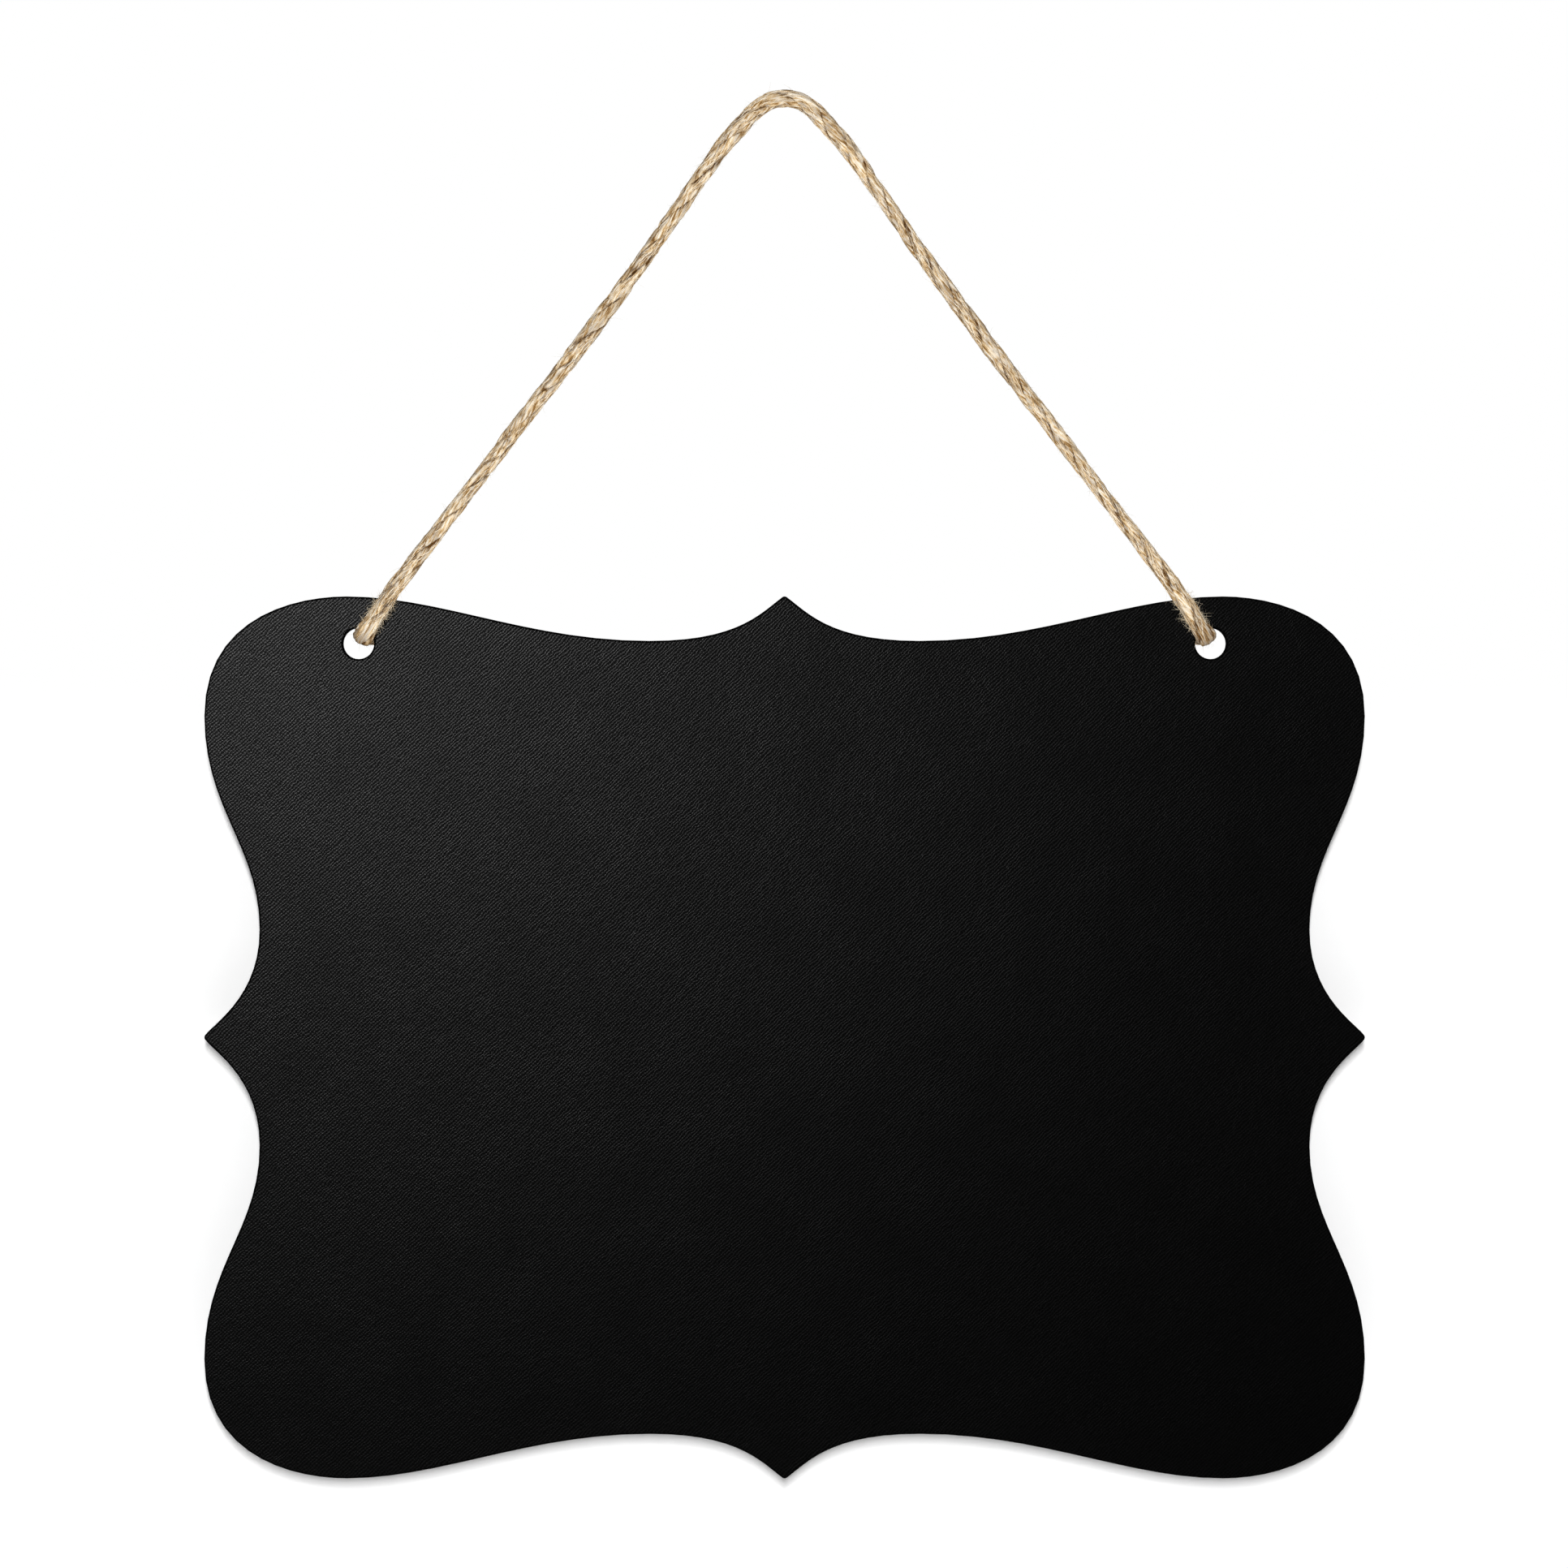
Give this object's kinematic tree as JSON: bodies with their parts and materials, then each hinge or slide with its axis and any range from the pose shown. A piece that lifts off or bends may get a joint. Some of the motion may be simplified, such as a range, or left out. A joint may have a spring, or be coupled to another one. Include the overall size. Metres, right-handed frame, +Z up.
{
  "type": "hanging sign",
  "caption": "Shaped blackboard plaque with rounded lobes and small pointed tips, hanging from a loop of jute rope knotted behind holes near its top corners.",
  "frame": {"origin": "the hang point, under the top of the rope loop, where a hook carries it", "axes": "+X right seen from the front, +Y away from the viewer, through the board's thickness, +Z up"},
  "size_m": [0.3, 0.0189, 0.3583],
  "materials": {
    "core": "black stained fibreboard, matte",
    "writing_sheet": "matte black blackboard film with a fine grain",
    "jute": "natural laid jute, fuzzy"
  },
  "bodies": {
    "rope": {"hanging_rope": "jute"},
    "board": {"board_core": "core", "front_writing_sheet": "writing_sheet", "back_writing_sheet": "writing_sheet", "left_knot": "jute", "right_knot": "jute"}
  },
  "joints": [
    {"name": "board_swing", "type": "hinge", "parent": "rope", "child": "board", "pos_m": [0, 0, -0.13688], "axis": [1, 0, 0], "range_deg": [-179, 0]}
  ]
}
